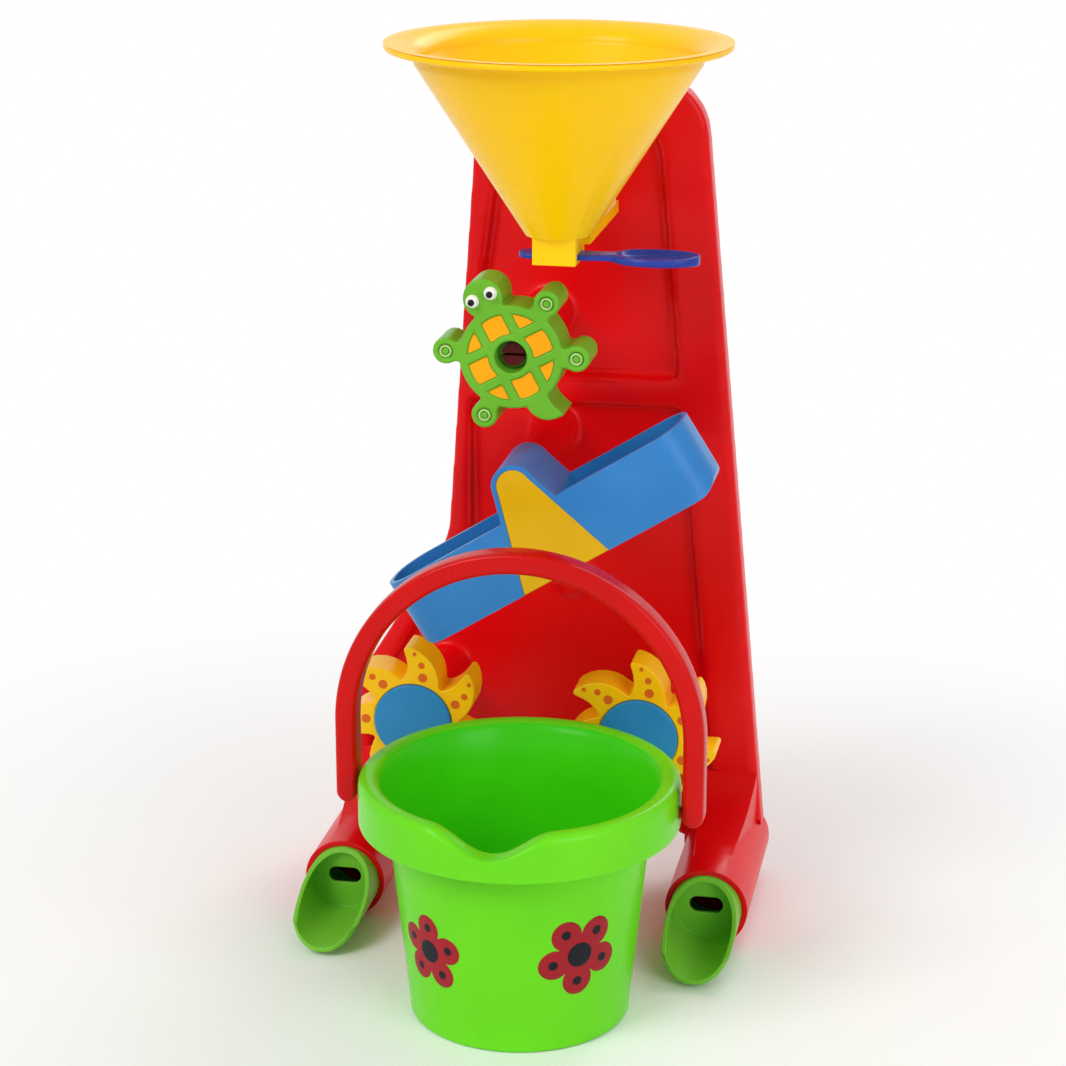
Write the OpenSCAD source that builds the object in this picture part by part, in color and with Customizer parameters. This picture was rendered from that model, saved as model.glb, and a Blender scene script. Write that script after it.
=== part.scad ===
// Sand wheel toy: a tower with a hopper, a turtle wheel, a tipping rocker, two star wheels and a pail.
// Millimetres, Z up, the front faces -Y. Sizes are worked out with the board's front face at y = 0,
// and placed() then moves everything so that the origin is under the middle of the whole object.

/* [Board] */
// How far the tower's neck and the hopper stand right of the middle
tower_x = 18; // [10:1:24]
// Height of the board
tower_top = 430; // [415:1:440]
// Half the width of the board at its top
tower_half = 57; // [50:1:62]
// Half the width of the neck, just above the hip
neck_half = 75; // [70:1:80]
// Height at which the neck ends and the hip starts
neck_z = 182; // [170:1:195]
// Half the width of the board at the hip
hip_half = 113; // [108:1:116]
// Height of the hip
hip_z = 92; // [80:1:110]
// Half the width of the board at the feet
base_half = 114; // [108:1:116]
// Radius of the board's top corners
top_corner_r = 32; // [20:1:45]
// Radius of the hip's two bends
hip_r = 46; // [20:1:60]
// Depth of the board from front to back
board_depth = 16; // [14:0.5:22]
// Wall of the board
board_wall = 3; // [2:0.1:4]
// Depth of the sunk panels in the front
panel_depth = 6; // [3:0.5:8]
// Width of the raised border on the left
border_left = 13; // [8:1:18]
// Width of the raised border on the right
border_right = 25; // [16:1:30]
// Height of the middle of the cross rib between the two panels
rib_z = 267; // [255:1:275]
// Width of the cross rib
rib_w = 15; // [8:1:22]
// Half the width of the arch's flat top
arch_half = 34; // [20:1:44]
// Height of the arch's flat top
arch_top = 50; // [44:1:56]
// Radius of the round boss under the rocker
boss_r = 9.5; // [6:0.5:12]

/* [Feet] */
// Distance of each foot's middle from the side of the board
foot_in = 19.5; // [16:0.5:24]
// Outer radius of a foot tube
foot_r = 21; // [19:0.5:22]
// Bore radius of a foot tube
foot_bore_r = 18.2; // [16:0.1:18.6]
// How far a foot reaches in front of the board
foot_front = 82; // [70:1:92]
// Depth of the flat that a foot stands on
foot_flat = 0.5; // [0.3:0.1:1]
// Length of the rounded plug behind a foot
plug_dome = 5; // [3:0.5:8]

/* [Spouts] */
// How far a spout reaches in front of its foot
spout_reach = 50; // [40:1:56]
// Wall of a spout
spout_wall = 2.4; // [1.8:0.1:3]
// Length of a spout's plug inside the tube
spout_plug = 34; // [24:1:44]
// Height of the spout's tip edge above its lowest line
spout_lip = 9; // [6:0.5:12]
// Width of the hole in the spout's back wall
spout_hole_w = 17; // [12:0.5:20]
// Height of the hole in the spout's back wall
spout_hole_h = 8.5; // [6:0.5:10]

/* [Hopper] */
// Distance of the hopper's middle line in front of the board
drop_y = 85; // [84:0.5:92]
// Height of the hopper's rim
rim_z = 457; // [450:1:465]
// Radius of the hopper's rim
rim_r = 82; // [74:1:84]
// Radius of the cone just under the lip
cone_r = 68; // [60:1:71]
// Height of the flared lip
lip_h = 10; // [7:0.5:13]
// Height of the bottom of the outlet block
outlet_z = 352.6; // [351:0.1:355]
// Wall of the hopper
hopper_wall = 2.2; // [1.8:0.1:2.8]
// Width of the outlet block
outlet_w = 20.8; // [18:0.2:23]
// Depth of the outlet block
outlet_d = 24; // [20:0.5:26]
// Height of the outlet block
outlet_h = 13; // [12:0.5:15]
// Radius of the outlet's passage
passage_r = 7.5; // [5:0.5:8.5]
// Width of the arm that carries the hopper
arm_w = 28; // [24:1:36]
// Thickness of the arm
arm_t = 6; // [4:0.5:8]
// Depth of the hook behind the board's wall
hook_drop = 14; // [10:0.5:18]
// Thickness of the hook
hook_t = 3; // [2:0.5:4]
// Width of the hook
hook_w = 22; // [18:1:24]

/* [Gate] */
// Length of the gate from its tip to the end of its bowl
gate_l = 87; // [80:1:92]
// Width of the gate's blade
gate_w = 15; // [14:0.5:17]
// Thickness of the gate's blade
gate_t = 3; // [2:0.2:4]
// Distance that the gate's tip stands left of the outlet's middle
gate_tip = 19; // [16:0.5:22]
// Length of the gate's bowl
bowl_l = 41; // [36:1:46]
// Width of the gate's bowl
bowl_w = 27; // [24:0.5:30]
// Height of the gate's bowl
bowl_t = 5; // [4:0.5:6]

/* [Turtle] */
// Height of the turtle's axle
turtle_z = 307; // [304:0.5:309]
// Distance of the turtle's axle left of the middle
turtle_left = 3; // [0:0.5:5]
// Thickness of the turtle
turtle_t = 24; // [18:1:26]
// Radius of the shell
shell_r = 25.4; // [22:0.2:27]
// Distance of the legs from the axle
leg_at = 32; // [29:0.5:33]
// Radius of a foot
leg_r = 6.4; // [5:0.2:7]
// Radius of the head
head_r = 9.8; // [8:0.2:10.4]
// Distance of the head from the axle
head_at = 31; // [28:0.5:32]
// Distance of the tail's tip from the axle
tail_at = 38; // [34:0.5:40]
// Radius of the open hub
hub_r = 7.8; // [6.8:0.1:9]
// Depth of the open hub
hub_depth = 11; // [8:0.5:13]
// Depth of the pockets in the shell
pocket_depth = 1.6; // [1:0.1:2]
// Thickness of a shell patch
pad_t = 0.8; // [0.5:0.1:1]
// Radius of an eye
eye_r = 3.3; // [2.6:0.1:4]

/* [Rocker] */
// Height of the rocker's axle
rocker_z = 245; // [243:0.5:247]
// Tilt of the rocker at rest
rocker_tilt = 32; // [20:1:34]
// Half the length of the rocker
rocker_half = 86; // [78:1:88]
// Height of the troughs' walls
trough_h = 36; // [28:0.5:38]
// Depth of the rocker from front to back
trough_d = 42; // [36:1:46]
// Height of the axle above the rocker's underside
rocker_drop = 49.5; // [46:0.5:51]
// Half the width of the wedge at its base
wedge_half = 24.6; // [20:0.2:26]
// Radius of the hood round the axle
hood_r = 11; // [9:0.5:12]
// Wall of the rocker
trough_wall = 2.4; // [1.8:0.1:3]
// Radius of the troughs' ends seen from above
trough_end_r = 17; // [8:0.5:19]
// Radius of the troughs' lower corners
trough_low_r = 9; // [5:0.5:11]
// Thickness of the wedge's front plate
wedge_t = 3; // [2:0.2:4]

/* [Stars] */
// Distance of each star's axle from the middle
star_x = 58; // [54:0.5:60]
// Height of the stars' axles
star_z = 109; // [106:0.5:112]
// Radius of a star at its tips
star_r = 40; // [36:0.5:42]
// Radius of a star between its arms
star_valley_r = 22.5; // [22:0.5:26]
// Thickness of a star
star_t = 20; // [14:0.5:22]
// Distance of a star's front in front of the board
star_front = 78; // [72:0.5:82]
// Radius of a star's blue cap
cap_r = 20; // [17:0.5:21]
// Thickness of a star's blue cap
cap_t = 3; // [2:0.2:4]
// Number of arms on a star
arms = 7; // [5:1:9]
// Angle by which an arm's tip is hooked
arm_hook = 17; // [0:1:22]

/* [Axles] */
// Radius of the axles
axle_r = 4; // [3:0.1:4.6]
// Depth of an axle in its post
axle_seat = 30; // [20:1:40]
// Radius of a post where it meets an axle
post_r = 7.5; // [6.6:0.1:9]
// Radius of a post at the board
post_base_r = 12; // [10:0.5:14]
// Radius of an axle's head
axle_head_r = 5.6; // [5.2:0.1:6.4]

/* [Pail] */
// Distance of the pail right of the middle
pail_x = 14; // [0:1:16]
// Height of the pail
pail_h = 120; // [108:1:130]
// Radius of the pail's rim
pail_rim_r = 77; // [70:0.5:78]
// Radius of the pail's body under the rim
pail_top_r = 63; // [57:0.5:64]
// Radius of the pail's base
pail_base_r = 53; // [46:0.5:55]
// Height of the band round the rim
pail_band = 23; // [18:0.5:26]
// Wall of the pail
pail_wall = 2.4; // [1.8:0.1:3]
// Radius of the pouring notch
notch_r = 24; // [16:0.5:28]
// Depth of the pouring notch
notch_depth = 12; // [4:0.5:14]
// Distance of the bail's pivot below the pail's rim
bail_down = 14; // [12:0.5:16]
// Width of the bail's strap
bail_w = 10.5; // [9:0.5:13]
// Depth of the bail's strap
bail_d = 14; // [10:0.5:16]
// Height of the bail's straight legs above its pivot
bail_leg = 36; // [26:1:44]
// Radius of the bail's pivots
bail_pin_r = 3.2; // [2.6:0.1:4]

/* [Hidden] */
$fn = 64;
// Clearances: a shaft in its hole, parts that only pass each other, and parts that stand side by side
fit = 0.05;
run = 0.4;
gap = 4;
// Overrun of every cut
over = 1;

foot_x = base_half - foot_in;
foot_z = foot_r - foot_flat;
bail_z = pail_h - bail_down;
rocker_x = 0;
turtle_x = rocker_x - turtle_left;
floor_y = panel_depth;
turtle_front = drop_y + turtle_t / 2;
turtle_back = drop_y - turtle_t / 2;
rocker_front = drop_y + trough_d / 2;
rocker_back = drop_y - trough_d / 2;
star_back = star_front - star_t;
cap_proud = cap_t / 2;
pail_y = star_front + cap_proud + gap + pail_rim_r;
rear_y = board_depth + plug_dome;
origin_shift = (pail_y + pail_rim_r - rear_y) / 2;
bail_in_r = pail_rim_r + run + pail_wall / 2;
bail_out_r = bail_in_r + bail_w;
gate_z = outlet_z + gate_t / 2;
arm_z = outlet_z + outlet_h - arm_t;
cone_z = outlet_z + outlet_h;
cone_low_r = outlet_d * 0.66;
axle_head_t = axle_r;
outline_steps = 10;
// Round moulded edges
edge_r = 4;

function unit(v) = v / norm(v);
function turn(a) = a > 180 ? a - 360 : a < -180 ? a + 360 : a;

// Points of one corner at b, between a and c, rounded with radius r
function corner(a, b, c, r) =
    r == 0 ? [b] :
    let (u = unit(a - b), v = unit(c - b), half = acos(u * v) / 2,
        mid = b + unit(u + v) * r / sin(half),
        s = b + u * r / tan(half) - mid, e = b + v * r / tan(half) - mid,
        from = atan2(s.y, s.x), sweep = turn(atan2(e.y, e.x) - from))
    [for (i = [0:outline_steps])
        mid + r * [cos(from + sweep * i / outline_steps), sin(from + sweep * i / outline_steps)]];

// A closed outline whose corners are rounded; each corner is [x, y, radius]
function rounded(path) =
    let (n = len(path), p = [for (q = path) [q.x, q.y]])
    [for (i = [0:n - 1]) each corner(p[(i + n - 1) % n], p[i], p[(i + 1) % n], path[i].z)];

// Points along a curve from a to c that leans towards b
function curve(a, b, c, steps = outline_steps) =
    [for (i = [0:steps]) let (t = i / steps) (1 - t) * (1 - t) * a + 2 * t * (1 - t) * b + t * t * c];

module placed() { translate([0, origin_shift, 0]) children(); }

// Stretch a front-view outline from front to back, both given as distances in front of the board
module slab(front, back) {
    translate([0, -back, 0]) rotate([90, 0, 0]) linear_extrude(front - back) children();
}

// Stretch a side-view outline, drawn as [distance behind the board, height], across a width
module across(x, w) {
    translate([x - w / 2, 0, 0]) rotate([90, 0, 90]) linear_extrude(w) children();
}

// A round bar along Y
module bar(x, z, r, front, back) {
    translate([x, -back, z]) rotate([90, 0, 0]) cylinder(h = front - back, r = r);
}

function board_path(inset = 0) = [
    [-foot_x - foot_r + inset, foot_z, 0],
    [-foot_x + foot_r + inset, foot_z, 0],
    [-foot_x + foot_r + inset, foot_z + inset, 0],
    [-arch_half - inset / 2, arch_top + inset, edge_r * 3],
    [arch_half + inset / 2, arch_top + inset, edge_r * 3],
    [foot_x - foot_r - inset, foot_z + inset, 0],
    [foot_x - foot_r - inset, foot_z, 0],
    [base_half - inset, foot_z, 0],
    [tower_x + tower_half - inset, tower_top - inset, top_corner_r - inset],
    [tower_x - tower_half + inset, tower_top - inset, top_corner_r - inset],
    [tower_x - neck_half + inset, neck_z, hip_r - inset],
    [-hip_half + inset, hip_z - inset / 2, hip_r - inset]];

// The sunk panel above the cross rib
function upper_panel(grow) = let (low = rib_z + rib_w / 2 - grow, high = tower_top - border_right + grow)
    [[tower_x - neck_half + border_left - grow, low, edge_r + grow],
    [right_edge(low) - border_right + grow, low, edge_r + grow],
    [right_edge(high) - border_right + grow, high, top_corner_r / 2 + grow],
    [tower_x - tower_half + border_left - grow, high, top_corner_r / 2 + grow]];

// The sunk panel below the cross rib, which follows the hip and the arch
function lower_panel(grow) = let (left = border_left - grow, right = border_right - grow,
        high = rib_z - rib_w / 2 + grow, low = foot_z + foot_r + border_left - grow)
    [[-hip_half + left, low, edge_r + grow],
    [-foot_x + foot_r, low, edge_r],
    [-arch_half - border_left / 2, arch_top + left, edge_r * 3],
    [arch_half + border_left / 2, arch_top + left, edge_r * 3],
    [foot_x - foot_r - border_left, low, edge_r],
    [right_edge(low) - right, low, edge_r + grow],
    [right_edge(high) - right, high, edge_r + grow],
    [tower_x - neck_half + left, high, edge_r + grow],
    [tower_x - neck_half + left, neck_z, hip_r - grow],
    [-hip_half + left, hip_z, hip_r / 2 + grow]];

// Where the board's right edge is at a height
function right_edge(z) =
    base_half + (tower_x + tower_half - base_half) * (z - foot_z) / (tower_top - foot_z);

module post(x, z, length) {
    translate([x, floor_y, z]) rotate([90, 0, 0]) cylinder(h = length + floor_y, r1 = post_base_r, r2 = post_r);
}

module board() color("#d50b12") placed() {
    difference() {
        union() {
            difference() {
                slab(0, -board_depth) polygon(rounded(board_path()));
                difference() {
                    slab(-board_wall, -board_depth - over) polygon(rounded(board_path(board_wall)));
                    slab(0, -floor_y - board_wall) polygon(rounded(upper_panel(board_wall)));
                    slab(0, -floor_y - board_wall) polygon(rounded(lower_panel(board_wall)));
                }
                slab(over, -floor_y) polygon(rounded(upper_panel(0)));
                slab(over, -floor_y) polygon(rounded(lower_panel(0)));
            }
            post(turtle_x, turtle_z, turtle_back - run);
            post(rocker_x, rocker_z, rocker_back - run);
            for (side = [-1, 1]) post(side * star_x, star_z, star_back - run);
            bar(rocker_x + boss_r, neck_z - boss_r * 2, boss_r, -floor_y / 2, -floor_y - board_wall);
        }
        bar(turtle_x, turtle_z, axle_r + fit, turtle_back, turtle_back - axle_seat);
        bar(rocker_x, rocker_z, axle_r + fit, rocker_back, rocker_back - axle_seat);
        for (side = [-1, 1]) {
            bar(side * star_x, star_z, axle_r + fit, star_back, star_back - axle_seat);
            bar(side * foot_x, foot_z, foot_r + fit * 2, over, -board_depth - over);
        }
        translate([tower_x - hook_w / 2 - run, floor_y - over, arm_z - run])
            cube([hook_w + run * 2, board_wall + over * 2, arm_t + hook_drop + run * 4]);
    }
}

module foot(side) color("#d50b12") placed() {
    half = right_edge(foot_z + foot_r * 2) - foot_x;
    difference() {
        union() {
            bar(side * foot_x, foot_z, foot_r, foot_front, -board_depth);
            intersection() {
                linear_extrude(tower_top)
                    polygon([[side * foot_x - half, 0], [side * foot_x + half, 0],
                        [side * foot_x + half / 2, edge_r - foot_front],
                        [side * foot_x - half / 2, edge_r - foot_front]]);
                across(side * foot_x, foot_r * 2)
                    polygon(concat([[0, foot_z]], curve([0, foot_z + foot_r * 2], [-foot_r, foot_z + foot_r],
                        [edge_r - foot_front, foot_z + foot_r - edge_r]), [[edge_r - foot_front, foot_z]]));
            }
        }
        bar(side * foot_x, foot_z, foot_bore_r, foot_front + over, -board_depth - over);
        translate([side * foot_x - foot_r, -foot_front - over, -foot_r])
            cube([foot_r * 2, foot_front + board_depth + over * 2, foot_r]);
    }
}

module left_foot() { foot(-1); }
module right_foot() { foot(1); }

module foot_plug(side) color("#c20a10") placed() {
    translate([side * foot_x, board_depth, foot_z]) rotate([-90, 0, 0]) rotate_extrude()
        polygon(concat([[0, -foot_r / 2], [foot_bore_r - fit, -foot_r / 2], [foot_bore_r - fit, 0]],
            curve([foot_r - edge_r / 2, 0], [foot_r - edge_r / 2, plug_dome], [0, plug_dome])));
}

module left_foot_plug() { foot_plug(-1); }
module right_foot_plug() { foot_plug(1); }

module spout(side) color("#6db42b") placed() {
    r = foot_bore_r - fit;
    tip = foot_front + spout_reach;
    difference() {
        intersection() {
            bar(side * foot_x, foot_z, r, tip, foot_front - spout_plug);
            linear_extrude(foot_r * 3)
                polygon(rounded([[side * foot_x - r, over - foot_front + spout_plug, 0],
                    [side * foot_x - r, -tip, r - edge_r / 2], [side * foot_x + r, -tip, r - edge_r / 2],
                    [side * foot_x + r, over - foot_front + spout_plug, 0]]));
        }
        bar(side * foot_x, foot_z, r - spout_wall, tip + over, foot_front);
        bar(side * foot_x, foot_z, r - spout_wall, foot_front - spout_wall, foot_front - spout_plug - over);
        across(side * foot_x, foot_r * 3)
            polygon(concat([[-foot_front - over, foot_z + foot_r * 2]],
                curve([-foot_front - over, foot_z + r], [-foot_front - spout_reach / 3, foot_z],
                    [-tip, foot_z - r + spout_lip]),
                [[-tip - over, foot_z - r + spout_lip], [-tip - over, foot_z + foot_r * 2]]));
        slab(foot_front + over, foot_front - spout_wall - over) translate([side * foot_x, foot_z + edge_r / 2])
            polygon(rounded([[-spout_hole_w / 2, -spout_hole_h / 2, edge_r], [spout_hole_w / 2, -spout_hole_h / 2, edge_r],
                [spout_hole_w / 2, spout_hole_h / 2, edge_r], [-spout_hole_w / 2, spout_hole_h / 2, edge_r]]));
    }
}

module left_spout() { spout(-1); }
module right_spout() { spout(1); }

// The hopper's section; the wall is taken inwards by inset
function hopper_section(inset, reach) = concat(
    [[0, cone_z + inset], [cone_low_r - inset, cone_z + inset]],
    curve([cone_r - inset, rim_z - lip_h], [cone_r - inset, rim_z - inset],
        [rim_r - inset, rim_z + reach]),
    [[0, rim_z + reach]]);

module funnel() color("#fcc204") placed() {
    difference() {
        union() {
            translate([tower_x, -drop_y, 0]) rotate_extrude() polygon(hopper_section(0, 0));
            translate([tower_x - outlet_w / 2, -drop_y - outlet_d / 2, outlet_z])
                cube([outlet_w, outlet_d, outlet_h]);
            translate([tower_x - arm_w / 2, -drop_y + passage_r, arm_z])
                cube([arm_w, drop_y - passage_r + floor_y - fit * 2, arm_t]);
            translate([tower_x - hook_w / 2, 0, arm_z])
                cube([hook_w, floor_y + board_wall + run + hook_t, arm_t]);
            translate([tower_x - hook_w / 2, floor_y + board_wall + run, arm_z - hook_drop])
                cube([hook_w, hook_t, hook_drop + arm_t]);
        }
        translate([tower_x, -drop_y, 0]) rotate_extrude()
            polygon(hopper_section(hopper_wall, over / 2));
        bar_up(tower_x, -drop_y, passage_r, outlet_z - over, cone_z + hopper_wall + over);
        translate([tower_x - outlet_w, -drop_y - gate_w / 2 - fit, gate_z - fit])
            cube([outlet_w * 2, gate_w + fit * 2, gate_t + fit * 2]);
    }
}

// A round bar along Z
module bar_up(x, y, r, low, high) { translate([x, y, low]) cylinder(h = high - low, r = r); }

// A flat outline with round ends, from x0 to x1
module stadium(x0, x1, w) {
    translate([x0 + w / 2, 0]) circle(d = w);
    translate([x1 - w / 2, 0]) circle(d = w);
    translate([x0 + w / 2, -w / 2]) square([x1 - x0 - w, w]);
}

module gate() color("#2b3f9e") placed() translate([tower_x - gate_tip, -drop_y, gate_z]) {
    linear_extrude(gate_t) stadium(0, gate_l - bowl_l / 2, gate_w);
    difference() {
        translate([0, 0, (gate_t - bowl_t) / 2]) linear_extrude(bowl_t)
            stadium(gate_l - bowl_l, gate_l, bowl_w);
        translate([0, 0, bowl_t / 2 - gate_t / 6]) linear_extrude(bowl_t)
            stadium(gate_l - bowl_l + gate_t / 2, gate_l - gate_t / 2, bowl_w - gate_t);
    }
}

// Directions of the turtle's legs, head and tail, and of its shell's lattice
leg_angles = [57, 1, 177, 246];
head_angle = 116;
tail_angle = -54;
lattice_angle = 28;

function polar(r, a) = r * [cos(a), sin(a)];

module turtle_outline() {
    circle(shell_r);
    for (a = leg_angles) {
        translate(polar(leg_at, a)) circle(leg_r);
        rotate(a) translate([0, -leg_r * 0.75]) square([leg_at, leg_r * 1.5]);
    }
    translate(polar(head_at, head_angle)) circle(head_r);
    rotate(head_angle) translate([0, -head_r * 0.8]) square([head_at, head_r * 1.6]);
    polygon(concat(
        curve(polar(shell_r * 0.9, tail_angle - 20), polar(tail_at, tail_angle - 15), polar(tail_at, tail_angle + 8)),
        curve(polar(tail_at, tail_angle + 8), polar(shell_r, tail_angle + 2), polar(shell_r * 0.9, tail_angle + 18))));
}

// The shell's patches: a ring cut by a lattice of two and two bands, as shares of the shell and hub
pad_out_share = 0.83;
pad_in_share = 1.42;
band_share = 0.19;
band_at_share = 0.31;
module pad_outline(clear) {
    band = shell_r * band_share + clear * 2;
    difference() {
        circle(shell_r * pad_out_share - clear);
        circle(hub_r * pad_in_share + clear);
        rotate(lattice_angle) for (turned = [0, 90], side = [-1, 1])
            rotate(turned) translate([-shell_r, side * shell_r * band_at_share - band / 2]) square([shell_r * 2, band]);
    }
}

module at_turtle() { translate([turtle_x, turtle_z]) children(); }

module turtle_wheel() color("#6cb52d") placed() difference() {
    slab(turtle_front, turtle_back) at_turtle() turtle_outline();
    bar(turtle_x, turtle_z, axle_r + fit, turtle_front, turtle_back - over);
    bar(turtle_x, turtle_z, hub_r, turtle_front + over, turtle_front - hub_depth);
    slab(turtle_front + over, turtle_front - pocket_depth) at_turtle() pad_outline(0);
    for (a = leg_angles) slab(turtle_front + over, turtle_front - pad_t) at_turtle()
        translate(polar(leg_at, a)) difference() { circle(leg_r / 2); circle(leg_r / 3); }
}

module turtle_pads() color("#fba907") placed()
    slab(turtle_front - pocket_depth + pad_t, turtle_front - pocket_depth) at_turtle() pad_outline(fit);

// An eye's place on the head, across the neck
function eye_at(side) = polar(head_at + eye_r / 3, head_angle) + side * polar(eye_r * 1.5, head_angle - 90);

module eyes(r, reach) {
    for (side = [-1, 1]) intersection() {
        translate([turtle_x, -turtle_front, turtle_z])
            translate([eye_at(side).x, reach, eye_at(side).y]) sphere(r);
        slab(turtle_front + reach * 4 + eye_r * 2, turtle_front) at_turtle() circle(tail_at * 2);
    }
}

module turtle_eyes() color("#f6f6f0") placed() difference() {
    eyes(eye_r, 0);
    pupils();
}
module pupils() {
    for (side = [-1, 1]) translate([turtle_x, -turtle_front, turtle_z])
        translate([eye_at(side).x, -eye_r, eye_at(side).y]) sphere(eye_r / 2);
}
module turtle_pupils() color("#171717") placed() pupils();

// An axle with a split head, from its seat in a post to its front end
module axle(x, z, front, back, head) {
    difference() {
        union() {
            bar(x, z, axle_r, front, back - axle_seat);
            if (head) bar(x, z, axle_head_r, front, front - axle_head_t);
        }
        if (head) translate([x - axle_head_r, -front - over, z - axle_r / 6])
            cube([axle_head_r * 2, axle_head_t + over, axle_r / 3]);
    }
}

module turtle_axle() color("#c20a10") placed()
    axle(turtle_x, turtle_z, turtle_front - hub_depth + axle_head_t + run, turtle_back, true);
module rocker_axle() color("#c20a10") placed()
    axle(rocker_x, rocker_z, rocker_front - wedge_t - run, rocker_back, false);
module star_axle(side) color("#c20a10") placed()
    axle(side * star_x, star_z, star_front - cap_t, star_back, true);
module left_star_axle() { star_axle(-1); }
module right_star_axle() { star_axle(1); }

module at_rocker() {
    translate([rocker_x, 0, rocker_z]) rotate([0, -rocker_tilt, 0]) children();
}

// The hump in the middle of the rocker, drawn round its axle; clear is taken off its sides
module hump(clear) {
    side = atan2(wedge_half + trough_wall, rocker_drop);
    r = hood_r - clear;
    circle(r);
    polygon([polar(r, side), polar(r, 180 - side), [-wedge_half - trough_wall + clear, -rocker_drop],
        [wedge_half + trough_wall - clear, -rocker_drop]]);
}

module trough_side(inset) {
    low = inset - rocker_drop;
    polygon(rounded([[-rocker_half + inset, low, trough_low_r - inset], [rocker_half - inset, low, trough_low_r - inset],
        [rocker_half - inset, trough_h - rocker_drop + (inset > 0 ? over : 0), 0],
        [-rocker_half + inset, trough_h - rocker_drop + (inset > 0 ? over : 0), 0]]));
}

module trough_plan(inset) {
    r = trough_end_r - inset;
    polygon(rounded([[-rocker_half + inset, inset - rocker_front, r], [rocker_half - inset, inset - rocker_front, r],
        [rocker_half - inset, -rocker_back - inset, r], [-rocker_half + inset, -rocker_back - inset, r]]));
}

module trough(inset) intersection() {
    slab(rocker_front, rocker_back) trough_side(inset);
    translate([0, 0, -rocker_half]) linear_extrude(rocker_half * 2) trough_plan(inset);
}

module rocker() color("#3784c8") placed() at_rocker() difference() {
    union() {
        difference() {
            trough(0);
            difference() {
                trough(trough_wall);
                slab(rocker_front, rocker_back) hump(0);
            }
        }
        difference() {
            slab(rocker_front, rocker_back) hump(0);
            slab(rocker_front + over, rocker_back + trough_wall) hump(trough_wall);
        }
        bar(0, 0, axle_r + trough_wall, rocker_back + trough_d / 3, rocker_back);
    }
    slab(rocker_front + over, rocker_back + trough_wall) difference() {
        hump(trough_wall);
        circle(axle_r + trough_wall);
    }
    bar(0, 0, axle_r + fit, rocker_front, rocker_back - over);
}

module rocker_wedge() color("#dca908") placed() at_rocker() difference() {
    union() {
        slab(rocker_front, rocker_front - wedge_t) hump(trough_wall + fit);
        bar(0, 0, axle_r + trough_wall, rocker_front, rocker_back + trough_d / 3 + fit);
    }
    bar(0, 0, axle_r + fit, rocker_front - wedge_t, rocker_back);
}

// One star's outline: each arm rises and falls over its share of the turn, and leans as it rises
star_steps = 18;
function star_point(i) =
    let (s = (i % star_steps) / star_steps, rise = pow(sin(180 * s), 1.8),
        a = 360 / arms * (i / star_steps) + arm_hook * rise * rise)
    polar(star_valley_r + (star_r - star_valley_r) * rise, a);

module star_outline() { polygon([for (i = [0:arms * star_steps - 1]) star_point(i)]); }

spot_rise_shares = [0.12, 0.48, 0.8];
spot_size_shares = [0.06, 0.043, 0.028];
module spot_outline(clear) {
    for (k = [0:arms - 1], j = [0:2])
        translate(polar(star_valley_r + (star_r - star_valley_r) * spot_rise_shares[j],
            360 / arms * (k + 0.5) + arm_hook * spot_rise_shares[j] * spot_rise_shares[j]))
            circle(star_r * spot_size_shares[j] - clear);
}

module at_star(side) { translate([side * star_x, star_z]) children(); }

module star(side) color("#fdc410") placed() difference() {
    slab(star_front, star_back) at_star(side) star_outline();
    bar(side * star_x, star_z, axle_r + fit, star_front, star_back - over);
    bar(side * star_x, star_z, cap_r + fit, star_front + over, star_front - cap_t + cap_proud);
    bar(side * star_x, star_z, axle_head_r + run, star_front, star_front - cap_t - axle_head_t - run);
    slab(star_front + over, star_front - pad_t) at_star(side) spot_outline(0);
}

module left_star() { star(-1); }
module right_star() { star(1); }

module star_spots(side) color("#e0641e") placed()
    slab(star_front, star_front - pad_t) at_star(side) spot_outline(fit);
module left_star_spots() { star_spots(-1); }
module right_star_spots() { star_spots(1); }

module star_cap(side) color("#2f86c0") placed() {
    bar(side * star_x, star_z, cap_r, star_front + cap_proud, star_front - cap_t + cap_proud);
}
module left_star_cap() { star_cap(-1); }
module right_star_cap() { star_cap(1); }

module bucket() color("#6fdd1a") placed() translate([pail_x, -pail_y, 0]) difference() {
    rotate_extrude() polygon(concat(
        [[0, 0], [pail_base_r - edge_r, 0], [pail_base_r, edge_r],
            [pail_top_r, pail_h - pail_band], [pail_rim_r - pail_wall, pail_h - pail_band],
            [pail_rim_r, pail_h - pail_band + pail_wall]],
        curve([pail_rim_r, pail_h - edge_r * 2], [pail_rim_r, pail_h], [pail_rim_r - edge_r * 2, pail_h]),
        [[pail_top_r, pail_h - pail_band / 2], [pail_top_r - pail_wall, pail_h - pail_band],
            [pail_base_r - pail_wall, edge_r + pail_wall], [0, edge_r + pail_wall]]));
    difference() {
        bar_up(0, 0, pail_rim_r - pail_wall, pail_h - pail_band - over, pail_h - notch_depth - pail_wall * 1.5);
        bar_up(0, 0, pail_top_r + pail_wall, pail_h - pail_band - over * 2, pail_h);
    }
    translate([0, -pail_top_r + pail_wall * 2, pail_h + notch_r - notch_depth]) rotate([90, 0, 0])
        cylinder(h = pail_rim_r, r = notch_r);
    for (side = [-1, 1]) translate([side * (pail_rim_r + over), 0, bail_z]) rotate([0, -90 * side, 0])
        cylinder(h = pail_wall * 3, r = bail_pin_r + fit);
}

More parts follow.
